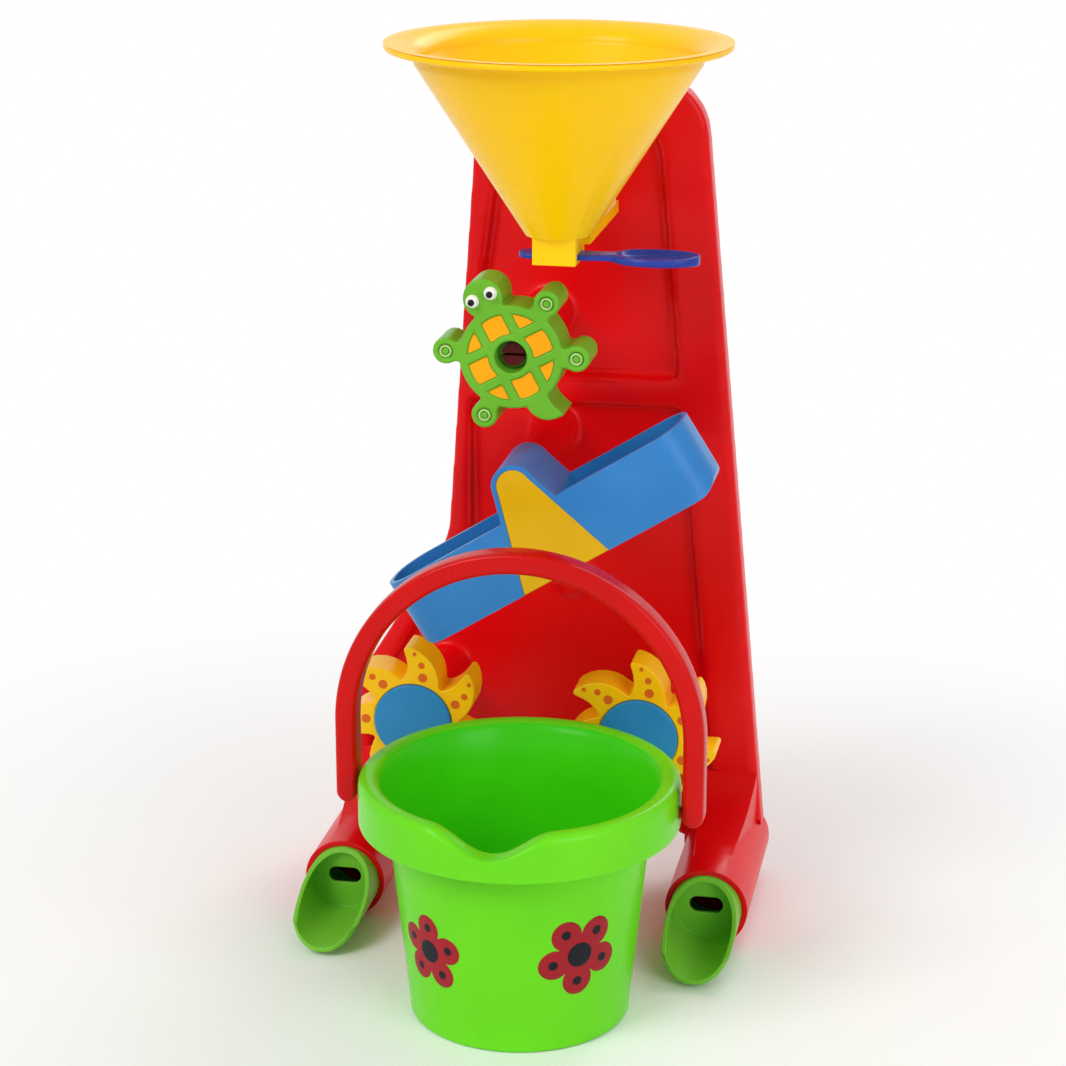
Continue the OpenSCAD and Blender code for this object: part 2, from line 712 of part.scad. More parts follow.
module bucket_handle() color("#d00000") placed() translate([pail_x, -pail_y, 0]) {
    leg_top = bail_z + bail_leg;
    difference() {
        translate([0, bail_d / 2, 0]) rotate([90, 0, 0]) linear_extrude(bail_d) difference() {
            union() {
                translate([0, leg_top]) circle(bail_out_r);
                for (side = [-1, 1]) translate([side * (bail_in_r + bail_w / 2), bail_z]) circle(d = bail_w);
                translate([-bail_out_r, bail_z]) square([bail_out_r * 2, bail_leg]);
            }
            translate([0, leg_top]) circle(bail_in_r);
            translate([-bail_in_r, 0]) square([bail_in_r * 2, leg_top]);
        }
    }
    for (side = [-1, 1]) translate([side * (bail_in_r + bail_w / 2), 0, bail_z]) rotate([0, -90 * side, 0])
        cylinder(h = bail_w / 2 + pail_wall * 3, r = bail_pin_r);
}

board();
left_foot();
right_foot();
left_foot_plug();
right_foot_plug();
left_spout();
right_spout();
funnel();
gate();
turtle_wheel();
turtle_pads();
turtle_eyes();
turtle_pupils();
turtle_axle();
rocker();
rocker_wedge();
rocker_axle();
left_star();
right_star();
left_star_spots();
right_star_spots();
left_star_cap();
right_star_cap();
left_star_axle();
right_star_axle();
bucket();
bucket_handle();
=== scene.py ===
"""Looks of the sand wheel toy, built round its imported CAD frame.

Each sub-assembly is a class with its sizes as fields. Lengths are written in millimetres and
turned to metres by MM. The shared frame has +Z up and the front of the toy towards -Y.
"""

import logging
import math
from dataclasses import dataclass
from enum import Enum
from typing import Any, Sequence

import bmesh
import bpy
import numpy as np
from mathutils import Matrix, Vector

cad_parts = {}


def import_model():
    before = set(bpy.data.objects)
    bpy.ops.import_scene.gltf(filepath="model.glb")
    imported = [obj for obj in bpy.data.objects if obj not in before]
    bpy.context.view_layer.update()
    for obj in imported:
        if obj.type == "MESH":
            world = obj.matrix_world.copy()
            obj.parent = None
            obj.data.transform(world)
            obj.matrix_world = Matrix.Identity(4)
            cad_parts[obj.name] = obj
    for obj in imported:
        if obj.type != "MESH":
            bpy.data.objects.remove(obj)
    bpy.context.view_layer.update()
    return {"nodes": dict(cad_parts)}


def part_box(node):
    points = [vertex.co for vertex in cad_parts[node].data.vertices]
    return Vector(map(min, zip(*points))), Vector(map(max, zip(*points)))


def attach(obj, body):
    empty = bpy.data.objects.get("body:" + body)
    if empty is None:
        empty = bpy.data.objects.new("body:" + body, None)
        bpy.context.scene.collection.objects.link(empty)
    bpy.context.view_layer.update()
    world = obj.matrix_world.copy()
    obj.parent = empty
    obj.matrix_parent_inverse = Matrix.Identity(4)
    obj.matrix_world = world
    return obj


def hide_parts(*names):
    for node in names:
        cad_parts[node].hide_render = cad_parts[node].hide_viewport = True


LOG = logging.getLogger("sand_wheel")
MM = 0.001
SHARP_DEG = 38.0
FLAT_DEG = 0.5
SEAM_M = 1e-6
MERGE_M = 2e-6
POLYPROPYLENE_IOR = 1.49
SCUFF_SHARE = 0.3
FRAME: dict[str, Any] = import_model()


class Body(str, Enum):
    """The CAD bodies that pieces ride on."""

    STAND = "stand"
    HOPPER = "hopper"
    GATE = "gate"
    TURTLE = "turtle"
    ROCKER = "rocker"
    STAR_LEFT = "star_left"
    STAR_RIGHT = "star_right"
    SPOUT_LEFT = "spout_left"
    SPOUT_RIGHT = "spout_right"
    PAIL = "pail"
    BAIL = "bail"


def linear(colour: str) -> tuple[float, float, float, float]:
    """Turn an sRGB hex colour into linear RGBA.

    Args:
        colour: a colour such as "#d50b12".

    Returns:
        Linear red, green, blue and an alpha of one.
    """
    srgb = np.array([int(colour[i:i + 2], 16) for i in (1, 3, 5)]) / 255.0
    out = np.where(srgb <= 0.04045, srgb / 12.92, ((srgb + 0.055) / 1.055) ** 2.4)
    return (float(out[0]), float(out[1]), float(out[2]), 1.0)


def add_node(
    tree: bpy.types.NodeTree,
    kind: str,
    settings: dict[str, Any] | None = None,
    inputs: dict[str, Any] | None = None,
    links: dict[str, bpy.types.NodeSocket] | None = None,
) -> bpy.types.Node:
    """Add a node with its settings, input values and incoming links.

    Args:
        tree: the node tree.
        kind: the node's type name.
        settings: attributes of the node.
        inputs: values of its sockets.
        links: sockets that feed its inputs.

    Returns:
        The new node.
    """
    node = tree.nodes.new(kind)
    for key, value in (settings or {}).items():
        setattr(node, key, value)
    for key, value in (inputs or {}).items():
        node.inputs[key].default_value = value
    for key, socket in (links or {}).items():
        tree.links.new(socket, node.inputs[key])
    return node


@dataclass(frozen=True)
class MouldedPlastic:
    """Injection-moulded polypropylene: even colour, soft gloss and faint flow marks.

    The flow cloud shifts the colour a little over a few centimetres, as pigment does in a thick
    moulding, and finer scuffs shift the gloss, as play in sand does.
    """

    name: str
    colour: str
    cloud: str
    slot: str
    roughness: float = 0.3
    cloud_mm: float = 70.0
    glow: float = 0.0
    coat: float = 0.04
    gloss: float = 0.15

    def build(self) -> bpy.types.Material:
        """Make the material, or return it if it was made before."""
        found = bpy.data.materials.get(self.name)
        if found:
            return found
        material = bpy.data.materials.new(self.name)
        material.use_nodes = True
        tree = material.node_tree
        shader = tree.nodes["Principled BSDF"]
        place = add_node(tree, "ShaderNodeTexCoord").outputs["Object"]
        cloud = add_node(
            tree, "ShaderNodeTexNoise",
            inputs={"Scale": 1.0 / (self.cloud_mm * MM), "Detail": 3.0, "Roughness": 0.55},
            links={"Vector": place})
        blend = add_node(
            tree, "ShaderNodeMapRange", inputs={"From Min": 0.35, "From Max": 0.7},
            links={"Value": cloud.outputs["Fac"]})
        mix = add_node(
            tree, "ShaderNodeMix", {"data_type": "RGBA"}, links={"Factor": blend.outputs["Result"]})
        mix.inputs["A"].default_value = linear(self.colour)
        mix.inputs["B"].default_value = linear(self.cloud)
        tree.links.new(mix.outputs["Result"], shader.inputs["Base Color"])
        scuff_mm = self.cloud_mm * SCUFF_SHARE
        scuff = add_node(
            tree, "ShaderNodeTexNoise",
            inputs={"Scale": 1.0 / (scuff_mm * MM), "Detail": 5.0, "Roughness": 0.6},
            links={"Vector": place})
        shiny, dull = self.roughness * 0.94, self.roughness * 1.08
        gloss = add_node(
            tree, "ShaderNodeMapRange",
            inputs={"From Min": 0.3, "From Max": 0.75, "To Min": shiny, "To Max": dull},
            links={"Value": scuff.outputs["Fac"]})
        tree.links.new(gloss.outputs["Result"], shader.inputs["Roughness"])
        shader.inputs["IOR"].default_value = POLYPROPYLENE_IOR
        shader.inputs["Specular IOR Level"].default_value = self.gloss
        shader.inputs["Coat Weight"].default_value = self.coat
        shader.inputs["Coat Roughness"].default_value = 0.12
        if self.glow:
            shader.inputs["Subsurface Weight"].default_value = self.glow
            shader.inputs["Subsurface Radius"].default_value = (1.0, 1.0, 0.6)
            shader.inputs["Subsurface Scale"].default_value = 2.0 * MM
        return material


RED = MouldedPlastic("red_polypropylene", "#e6070f", "#dc050d", "red")
# Painted shade: the axles' red is darkened to stand in for the shade inside the hollow turtle hub.
PIN_RED_PAINTED_SHADE = MouldedPlastic("pin_red_painted_shade", "#5e0b0e", "#53090c", "red", roughness=0.4)
BAIL_RED = MouldedPlastic("bail_red_polypropylene", "#cf0606", "#c20306", "red", roughness=0.28)
HOPPER_YELLOW = MouldedPlastic(
    "hopper_yellow_polypropylene", "#ffcc02", "#fec401", "hopper_yellow", roughness=0.27)
SPOUT_GREEN = MouldedPlastic("spout_green_polypropylene", "#7cc63a", "#70b930", "spout_green", glow=0.1)
TURTLE_GREEN = MouldedPlastic("turtle_green_polypropylene", "#6cb52d", "#5fa726", "turtle_green", glow=0.08)
GATE_BLUE = MouldedPlastic("gate_blue_polypropylene", "#2b3f9e", "#24368f", "gate_blue", roughness=0.26)
ROCKER_BLUE = MouldedPlastic("rocker_blue_polypropylene", "#3784c8", "#2f78bd", "rocker_blue", glow=0.06)
WEDGE_YELLOW = MouldedPlastic("wedge_yellow_polypropylene", "#e3b208", "#d9a506", "wedge_yellow")
STAR_YELLOW = MouldedPlastic("star_yellow_polypropylene", "#fdc410", "#f6b108", "star_yellow", glow=0.1)
CAP_BLUE = MouldedPlastic("cap_blue_polypropylene", "#2f86c0", "#2a7ab4", "cap_blue")
PAD_ORANGE = MouldedPlastic(
    "printed_orange_lacquer", "#fba907", "#f59c05", "pad_orange", roughness=0.4, coat=0.0)
SPOT_ORANGE = MouldedPlastic(
    "printed_rust_lacquer", "#e0641e", "#d65817", "spot_orange", roughness=0.4, coat=0.0)
# Painted highlight: the pale rings on the turtle's legs stand in for light catching the moulded rings.
RING_PAINTED_HIGHLIGHT = MouldedPlastic("ring_painted_highlight", "#d9ecae", "#cfe4a2", "turtle_green", roughness=0.35)
EYE_WHITE = MouldedPlastic("eye_white_lacquer", "#f6f6f0", "#ecece6", "eye_white", roughness=0.18)
PUPIL_BLACK = MouldedPlastic("pupil_black_lacquer", "#171717", "#0f0f0f", "pupil_black", roughness=0.15)
PAIL_GREEN = MouldedPlastic(
    "pail_green_polypropylene", "#6fdd1a", "#66d416", "pail_green", roughness=0.28, glow=0.08)
# Painted light: the inside is a brighter copy of the pail green, standing in for light shining through the
# thin wall.
PAIL_INSIDE_PAINTED_LIGHT = MouldedPlastic("pail_inside_painted_light", "#46dc10", "#3cd20c", "pail_green", roughness=0.3)
PRINT_RED = MouldedPlastic("printed_red_ink", "#a8202c", "#9b1a26", "pail_green", roughness=0.42, coat=0.0)
PRINT_DARK = MouldedPlastic("printed_dark_ink", "#1b1c26", "#15161e", "pail_green", roughness=0.42, coat=0.0)


def squarish(wave: np.ndarray, power: float) -> np.ndarray:
    """Flatten a sine or cosine towards its ends, which turns a circle into a rounded oblong.

    Args:
        wave: the sine or cosine.
        power: 1 keeps the circle, and less makes its corners tighter.

    Returns:
        The flattened wave.
    """
    return np.sign(wave) * np.abs(wave) ** power


def dress(obj: bpy.types.Object, finish: MouldedPlastic) -> None:
    """Give an object one finish in place of all its material slots."""
    obj.data.materials.clear()
    obj.data.materials.append(finish.build())


def mesh_object(name: str, vertices: np.ndarray, faces: Sequence[Sequence[int]]) -> bpy.types.Object:
    """Put arrays of vertices and faces into a new object at the origin.

    Args:
        name: the piece's name.
        vertices: an n by 3 array in metres.
        faces: vertex numbers of each face.

    Returns:
        The linked object, shaded smooth.
    """
    mesh = bpy.data.meshes.new(name)
    mesh.from_pydata(vertices.tolist(), [], [list(map(int, face)) for face in faces])
    mesh.polygons.foreach_set("use_smooth", np.ones(len(mesh.polygons), dtype=bool))
    mesh.validate()
    obj = bpy.data.objects.new(name, mesh)
    bpy.context.scene.collection.objects.link(obj)
    return obj


def grid_faces(rows: int, columns: int, wrap_rows: bool, wrap_columns: bool) -> np.ndarray:
    """Quads of a rows by columns grid of vertices, closed along either direction on request.

    Args:
        rows: number of vertices along the first parameter.
        columns: number of vertices along the second.
        wrap_rows: join the last row to the first.
        wrap_columns: join the last column to the first.

    Returns:
        An array of four vertex numbers a face.
    """
    i = np.arange(rows if wrap_rows else rows - 1)
    j = np.arange(columns if wrap_columns else columns - 1)
    a, b = np.meshgrid(i, j, indexing="ij")
    up, along = (a + 1) % rows, (b + 1) % columns
    near, far = a * columns, up * columns
    return np.stack([near + b, near + along, far + along, far + b], axis=-1).reshape(-1, 4)


def outward(obj: bpy.types.Object) -> None:
    """Merge doubled vertices and turn a closed mesh's faces outwards."""
    work = bmesh.new()
    work.from_mesh(obj.data)
    bmesh.ops.remove_doubles(work, verts=work.verts, dist=SEAM_M)
    bmesh.ops.recalc_face_normals(work, faces=work.faces)
    work.to_mesh(obj.data)
    work.free()


def softened(
    node: str,
    finish: MouldedPlastic,
    radius_mm: float,
    body: Body,
    shortest_mm: float = 0.0,
    held: bool = False,
) -> bpy.types.Object:
    """Stand a copy of a CAD node in its place, with the round edges of a moulding.

    Every edge sharper than SHARP_DEG is rounded, apart from the short ones.

    Args:
        node: the CAD node.
        finish: its finish.
        radius_mm: the radius of its edges.
        body: the body it rides on.
        shortest_mm: edges shorter than this stay sharp, which spares small round pockets.
        held: shrink the radius wherever two rounded edges would meet.

    Returns:
        The new piece, which replaces the node.
    """
    obj = bpy.data.objects.new(node + "_moulded", FRAME["nodes"][node].data.copy())
    bpy.context.scene.collection.objects.link(obj)
    work = bmesh.new()
    work.from_mesh(obj.data)
    bmesh.ops.remove_doubles(work, verts=work.verts, dist=MERGE_M)
    flat = math.radians(FLAT_DEG)
    bmesh.ops.dissolve_limit(work, angle_limit=flat, verts=work.verts, edges=work.edges)
    layer = work.edges.layers.float.new("bevel_weight_edge")
    edges = list(work.edges)
    angles = np.array([edge.calc_face_angle(0.0) for edge in edges])
    lengths = np.array([edge.calc_length() for edge in edges]) / MM
    sharp = angles > math.radians(SHARP_DEG)
    rounded = sharp & (lengths > shortest_mm)
    crisp = sharp & ~rounded
    for edge, weight, kept in zip(edges, rounded.astype(float).tolist(), crisp.tolist()):
        edge[layer] = weight
        edge.smooth = not kept
    work.to_mesh(obj.data)
    work.free()
    own_normals = obj.data.attributes.get("custom_normal")
    if own_normals:
        obj.data.attributes.remove(own_normals)
    obj.data.polygons.foreach_set("use_smooth", np.ones(len(obj.data.polygons), dtype=bool))
    dress(obj, finish)
    bevel = obj.modifiers.new("round_edges", "BEVEL")
    bevel.width = radius_mm * MM
    bevel.segments = 3
    bevel.limit_method = "WEIGHT"
    bevel.use_clamp_overlap = held
    bevel.loop_slide = False
    even = obj.modifiers.new("even_normals", "WEIGHTED_NORMAL")
    even.keep_sharp = True
    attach(obj, body.value)
    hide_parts(node)
    LOG.info("%s softened by %.1f mm", node, radius_mm)
    return obj


def melted(
    node: str, finish: MouldedPlastic, voxel_mm: float, passes: int, body: Body
) -> bpy.types.Object:
    """Stand a copy of a CAD node in its place, with every edge and inner corner melted soft.

    The copy is meshed again in even cells, and each pass of smoothing rounds it by about a third
    of a cell.

    Args:
        node: the CAD node.
        finish: its finish.
        voxel_mm: side of the cells.
        passes: rounds of smoothing.
        body: the body it rides on.

    Returns:
        The new piece, which replaces the node.
    """
    obj = bpy.data.objects.new(node + "_moulded", FRAME["nodes"][node].data.copy())
    bpy.context.scene.collection.objects.link(obj)
    work = bmesh.new()
    work.from_mesh(obj.data)
    bmesh.ops.remove_doubles(work, verts=work.verts, dist=MERGE_M)
    work.to_mesh(obj.data)
    work.free()
    dress(obj, finish)
    cells = obj.modifiers.new("even_cells", "REMESH")
    cells.mode = "VOXEL"
    cells.voxel_size = voxel_mm * MM
    cells.use_smooth_shade = True
    soft = obj.modifiers.new("soft_edges", "SMOOTH")
    soft.factor = 0.5
    soft.iterations = passes
    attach(obj, body.value)
    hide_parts(node)
    LOG.info("%s melted in %d passes", node, passes)
    return obj


def joined(grids: Sequence[tuple[np.ndarray, bool, bool]]) -> tuple[np.ndarray, list[list[int]]]:
    """Put several grids of points into one list of vertices and faces.

    Args:
        grids: each a rows by columns by 3 array, and whether its rows and columns close.

    Returns:
        The vertices and the faces.
    """
    points: list[np.ndarray] = []
    faces: list[list[int]] = []
    count = 0
    for grid, wrap_rows, wrap_columns in grids:
        rows, columns = grid.shape[:2]
        faces += (grid_faces(rows, columns, wrap_rows, wrap_columns) + count).tolist()
        points.append(grid.reshape(-1, 3))
        count += rows * columns
    return np.concatenate(points), faces


def smooth_path(corners: np.ndarray, rounds: np.ndarray, steps: int) -> np.ndarray:
    """Round the corners of a polyline, each by a parabola that starts and ends on its two legs.

    Args:
        corners: n by 2 points.
        rounds: distance along the legs that each corner's parabola takes up.
        steps: points on each rounded corner.

    Returns:
        The rounded polyline as an m by 2 array.
    """
    before = np.roll(corners, 1, axis=0)
    after = np.roll(corners, -1, axis=0)
    to_a = before - corners
    to_b = after - corners
    len_a = np.maximum(np.linalg.norm(to_a, axis=1, keepdims=True), 1e-9)
    len_b = np.maximum(np.linalg.norm(to_b, axis=1, keepdims=True), 1e-9)
    cut = np.minimum(rounds[:, None], np.minimum(len_a, len_b) * 0.5)
    a = corners + to_a / len_a * cut
    b = corners + to_b / len_b * cut
    t = np.linspace(0.0, 1.0, steps)[None, :, None]
    curve = (1 - t) ** 2 * a[:, None] + 2 * t * (1 - t) * corners[:, None] + t ** 2 * b[:, None]
    curve[0] = corners[0]
    curve[-1] = corners[-1]
    return curve.reshape(-1, 2)


@dataclass
class Studio:
    """Camera, lamps, pale floor and world."""

    azimuth_deg: float = 11.07
    elevation_deg: float = 16.74
    place_mm: tuple[float, float, float] = (256.4, -1258.25, 627.1)
    lens_mm: float = 94.0
    shift_y: float = -0.034
    aim_m: tuple[float, float, float] = (0.0, 0.0, 0.22)
    floor_half_m: float = 30.0
    floor_drop_m: float = 0.0002
    floor_points: int = 41
    fade_from_m: float = 0.16
    fade_to_m: float = 0.62
    world_level: float = 0.5

    def camera(self) -> None:
        """Set the camera at the photograph's viewing angle."""
        data = bpy.data.cameras.new("camera")
        data.sensor_fit = "HORIZONTAL"
        data.sensor_width = 36.0
        data.lens = self.lens_mm
        data.shift_y = self.shift_y
        camera = bpy.data.objects.new("camera", data)
        camera.location = tuple(c * MM for c in self.place_mm)
        tilt, swing = math.radians(90.0 - self.elevation_deg), math.radians(self.azimuth_deg)
        camera.rotation_euler = (tilt, 0.0, swing)
        bpy.context.scene.collection.objects.link(camera)
        bpy.context.scene.camera = camera

    def lamp(self, name: str, place: tuple[float, float, float], watts: float, side: float) -> None:
        """Hang one square soft lamp that points at the toy's middle."""
        data = bpy.data.lights.new(name, "AREA")
        data.energy = watts
        data.size = side
        lamp = bpy.data.objects.new(name, data)
        lamp.location = place
        aim = np.array(self.aim_m) - np.array(place)
        tilt = math.pi / 2 + math.atan2(aim[2], math.hypot(aim[0], aim[1]))
        lamp.rotation_euler = (tilt, 0.0, math.atan2(aim[1], aim[0]) - math.pi / 2)
        bpy.context.scene.collection.objects.link(lamp)

    def backdrop_rays(self, tree: bpy.types.NodeTree) -> bpy.types.NodeSocket:
        """Tell the rays that show the backdrop from those that carry light.

        Args:
            tree: the floor's or the world's node tree.

        Returns:
            A socket that is one for camera, glossy and transmission rays, and otherwise zero.
        """
        path = add_node(tree, "ShaderNodeLightPath")
        seen = add_node(tree, "ShaderNodeMath", {"operation": "MAXIMUM"})
        tree.links.new(path.outputs["Is Camera Ray"], seen.inputs[0])
        tree.links.new(path.outputs["Is Transmission Ray"], seen.inputs[1])
        shown = add_node(tree, "ShaderNodeMath", {"operation": "MAXIMUM"})
        tree.links.new(seen.outputs["Value"], shown.inputs[0])
        tree.links.new(path.outputs["Is Glossy Ray"], shown.inputs[1])
        return shown.outputs["Value"]

    def floor(self) -> None:
        """Lay a wide pale floor that takes the shadow near the toy and is plain white further off.

        The white is for the rays that show the backdrop. Its share rises with the distance from the toy.
        From below the floor is clear, so that views of the underside show the toy.
        """
        count = self.floor_points
        u = np.linspace(-self.floor_half_m, self.floor_half_m, count)
        x, y = np.meshgrid(u, u, indexing="xy")
        points = np.stack([x, y, np.full_like(x, -self.floor_drop_m)], axis=-1).reshape(-1, 3)
        obj = mesh_object("floor", points, grid_faces(count, count, False, False))
        material = bpy.data.materials.new("pale_floor")
        material.use_nodes = True
        tree = material.node_tree
        shader = tree.nodes["Principled BSDF"]
        shader.inputs["Base Color"].default_value = linear("#f6f6f4")
        shader.inputs["Roughness"].default_value = 0.7
        place = add_node(tree, "ShaderNodeTexCoord").outputs["Object"]
        far = add_node(
            tree, "ShaderNodeVectorMath", {"operation": "LENGTH"}, links={"Vector": place})
        share = add_node(
            tree, "ShaderNodeMapRange", {"interpolation_type": "SMOOTHSTEP"},
            {"From Min": self.fade_from_m, "From Max": self.fade_to_m},
            {"Value": far.outputs["Value"]})
        seen = add_node(tree, "ShaderNodeMath", {"operation": "MULTIPLY"})
        tree.links.new(share.outputs["Result"], seen.inputs[0])
        tree.links.new(self.backdrop_rays(tree), seen.inputs[1])
        white = add_node(tree, "ShaderNodeEmission", inputs={"Strength": 1.0})
        blend = add_node(tree, "ShaderNodeMixShader", links={"Fac": seen.outputs["Value"]})
        tree.links.new(shader.outputs["BSDF"], blend.inputs[1])
        tree.links.new(white.outputs["Emission"], blend.inputs[2])
        behind = add_node(tree, "ShaderNodeNewGeometry").outputs["Backfacing"]
        clear = add_node(tree, "ShaderNodeBsdfTransparent")
        both = add_node(tree, "ShaderNodeMixShader", links={"Fac": behind})
        tree.links.new(blend.outputs["Shader"], both.inputs[1])
        tree.links.new(clear.outputs["BSDF"], both.inputs[2])
        tree.links.new(both.outputs["Shader"], tree.nodes["Material Output"].inputs["Surface"])
        obj.data.materials.append(material)

    def world(self) -> None:
        """White for the rays that show the backdrop, a plain grey level for the light."""
        world = bpy.data.worlds.new("studio")
        bpy.context.scene.world = world
        world.use_nodes = True
        tree = world.node_tree
        level = add_node(
            tree, "ShaderNodeMapRange", inputs={"To Min": self.world_level, "To Max": 1.0},
            links={"Value": self.backdrop_rays(tree)})
        back = tree.nodes["Background"]
        back.inputs["Color"].default_value = (1.0, 1.0, 1.0, 1.0)
        tree.links.new(level.outputs["Result"], back.inputs["Strength"])

    def build(self) -> None:
        """Set up the whole studio."""
        bpy.context.scene.view_settings.view_transform = "Standard"
        self.camera()
        self.floor()
        self.world()
        self.lamp("key", (-1.3, -1.7, 2.0), 34.0, 1.2)
        self.lamp("fill", (1.7, -1.5, 1.2), 18.0, 1.4)
        self.lamp("rim", (0.6, 1.8, 1.6), 16.0, 1.2)


@dataclass
class Stand:
    """The red board with its feet, plugs and axles."""

    voxel_mm: float = 1.5
    passes: int = 16
    depth_mm: float = 16.0
    foot_edge_mm: float = 0.8
    collar_from_deg: float = -12.0
    collar_to_deg: float = 140.0
    collar_out: float = 0.7
    collar_thick: float = 2.6
    collar_back: float = 2.2
    collar_deep: float = 3.4
    collar_power: float = 0.6

    def collar(self, side: str) -> bpy.types.Object:
        """The bead that closes the board's front wall round one foot, on the foot's upper half.

        Args:
            side: "left" or "right".

        Returns:
            An arc of a rounded section, from under the arch to just short of the board's edge.
        """
        low, high = (np.array(corner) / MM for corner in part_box(side + "_foot"))
        middle_x, tube_r = (low[0] + high[0]) / 2, (high[0] - low[0]) / 2
        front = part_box("board")[1][1] / MM - self.depth_mm
        inner = 1.0 if middle_x < 0 else -1.0
        turn = np.radians(np.linspace(self.collar_from_deg, self.collar_to_deg, 64))
        turn = np.concatenate([turn[:1], turn, turn[-1:]])
        phi = np.linspace(0.0, 2 * np.pi, 24, endpoint=False)
        across = squarish(np.cos(phi), self.collar_power) * self.collar_thick / 2
        deep = squarish(np.sin(phi), self.collar_power) * self.collar_deep / 2
        size = np.ones(turn.size)
        size[[0, -1]] = 0.0
        r = tube_r + self.collar_out + size[:, None] * across
        x = middle_x + inner * r * np.cos(turn)[:, None]
        y = front + self.collar_back + size[:, None] * deep
        z = tube_r + r * np.sin(turn)[:, None]
        grid = np.stack([x, y, z], axis=-1)
        obj = mesh_object(side + "_foot_collar", *joined([(grid * MM, False, True)]))
        outward(obj)
        return obj

    def build(self) -> None:
        """Melt the board's edges, soften the feet and dress the other fixed red pieces."""
        melted("board", RED, self.voxel_mm, self.passes, Body.STAND)
        for side in ("left", "right"):
            softened(side + "_foot", RED, self.foot_edge_mm, Body.STAND, held=True)
            collar = self.collar(side)
            dress(collar, RED)
            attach(collar, Body.STAND.value)
            dress(FRAME["nodes"][side + "_foot_plug"], RED)
            dress(FRAME["nodes"][side + "_star_axle"], PIN_RED_PAINTED_SHADE)
        # The axles take the pin red, darkened as painted shade of the hollow hub.
        for node in ("turtle_axle", "rocker_axle"):
            dress(FRAME["nodes"][node], PIN_RED_PAINTED_SHADE)


@dataclass
class Hopper:
    """The yellow hopper with its rolled rim, and its blue gate."""

    edge_mm: float = 0.4
    shortest_mm: float = 1.5
    rim_r: float = 82.0
    roll_r: float = 1.7
    blade_w: float = 15.0
    blade_t: float = 3.0
    neck_w: float = 12.0
    neck_from: float = 22.0
    neck_to: float = 2.0
    bowl_l: float = 41.0
    bowl_t: float = 5.0
    bowl_floor: float = 1.8
    bowl_power: float = 2.2
    dish_from: float = 4.0
    dish_over: float = 12.0
    dish_share: float = 0.84
    dish_soft: float = 0.035

    def spoon(self) -> bpy.types.Object:
        """The gate: a flat blade with a round tip that narrows to a neck and widens to a dished bowl.

        Every station along the gate is a closed section of its half width, with a raised edge and
        a sunk middle on top that grow from nothing on the blade to their full size in the bowl.
        """
        low, high = (np.array(corner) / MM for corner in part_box("gate"))
        length, bowl_w = high[0] - low[0], high[1] - low[1]
        ease = 0.5 - 0.5 * np.cos(np.linspace(0.0, np.pi, 160))
        x = length * ease
        start = length - self.bowl_l
        tip = self.blade_w / 2
        stations = [0.0, start - self.neck_from, start - self.neck_to]
        half = np.interp(x, stations, [tip, tip, self.neck_w / 2])
        half *= np.sqrt(np.clip(1 - np.clip(1 - x / tip, 0.0, 1.0) ** 2, 0.0, 1.0))
        along = np.clip((x - start) / self.bowl_l * 2 - 1, -1.0, 1.0)
        oval = bowl_w / 2 * np.sqrt(np.clip(1 - np.abs(along) ** self.bowl_power, 0.0, 1.0))
        flare = np.sqrt(half ** 2 * along ** 4 + oval ** 2)
        half = np.where(x < start, half, np.where(along < 0, flare, oval))
        grown = np.clip((x - start + self.dish_from) / self.dish_over, 0.0, 1.0)
        grown = grown ** 2 * (3 - 2 * grown)
        v = np.cos(np.linspace(0.0, np.pi, 64))
        edge = 1 - np.abs(v) ** 6 * 0.35
        rise = 0.5 * (self.blade_t + grown * (self.bowl_t - self.blade_t))
        reach = np.hypot(along[:, None], v * half[:, None] / (bowl_w / 2))
        dish = 1 / (1 + np.exp((reach - self.dish_share) / self.dish_soft))
        top = rise[:, None] * edge - grown[:, None] * dish * (self.bowl_t - self.bowl_floor)
        bottom = -rise[:, None] * edge
        fade = np.clip(half / 2.0, 0.0, 1.0)[:, None]
        y = np.concatenate([v, v[::-1]])[None, :] * half[:, None]
        z = np.concatenate([top, bottom[:, ::-1]], axis=1) * fade
        grid = np.stack([x[:, None] + 0.0 * y, y, z], axis=-1)
        grid += np.array([low[0], (low[1] + high[1]) / 2, (low[2] + high[2]) / 2])
        obj = mesh_object("gate_spoon", *joined([(grid * MM, False, True)]))
        outward(obj)
        return obj

    def roll(self) -> bpy.types.Object:
        """The rim's rolled edge: a round bead carried along the rim's circle."""
        low, high = (np.array(corner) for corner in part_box("funnel"))
        down = high[2] - self.roll_r * MM
        middle = np.array([(low[0] + high[0]) / 2, low[1] + self.rim_r * MM, down])
        turn = np.linspace(0.0, 2 * np.pi, 220, endpoint=False)[:, None]
        phi = np.linspace(0.0, 2 * np.pi, 20, endpoint=False)[None, :]
        r = self.rim_r - self.roll_r + self.roll_r * np.cos(phi)
        z = self.roll_r * np.sin(phi) + 0.0 * turn
        grid = np.stack([r * np.cos(turn), r * np.sin(turn), z], axis=-1)
        obj = mesh_object("hopper_rim_roll", *joined([(grid * MM + middle, True, True)]))
        outward(obj)
        return obj

    def build(self) -> None:
        """Soften and dress both pieces, and lay the roll on the rim."""
        softened(
            "funnel", HOPPER_YELLOW, self.edge_mm, Body.HOPPER,
            shortest_mm=self.shortest_mm, held=True)
        roll = self.roll()
        dress(roll, HOPPER_YELLOW)
        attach(roll, Body.HOPPER.value)
        spoon = self.spoon()
        dress(spoon, GATE_BLUE)
        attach(spoon, Body.GATE.value)
        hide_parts("gate")


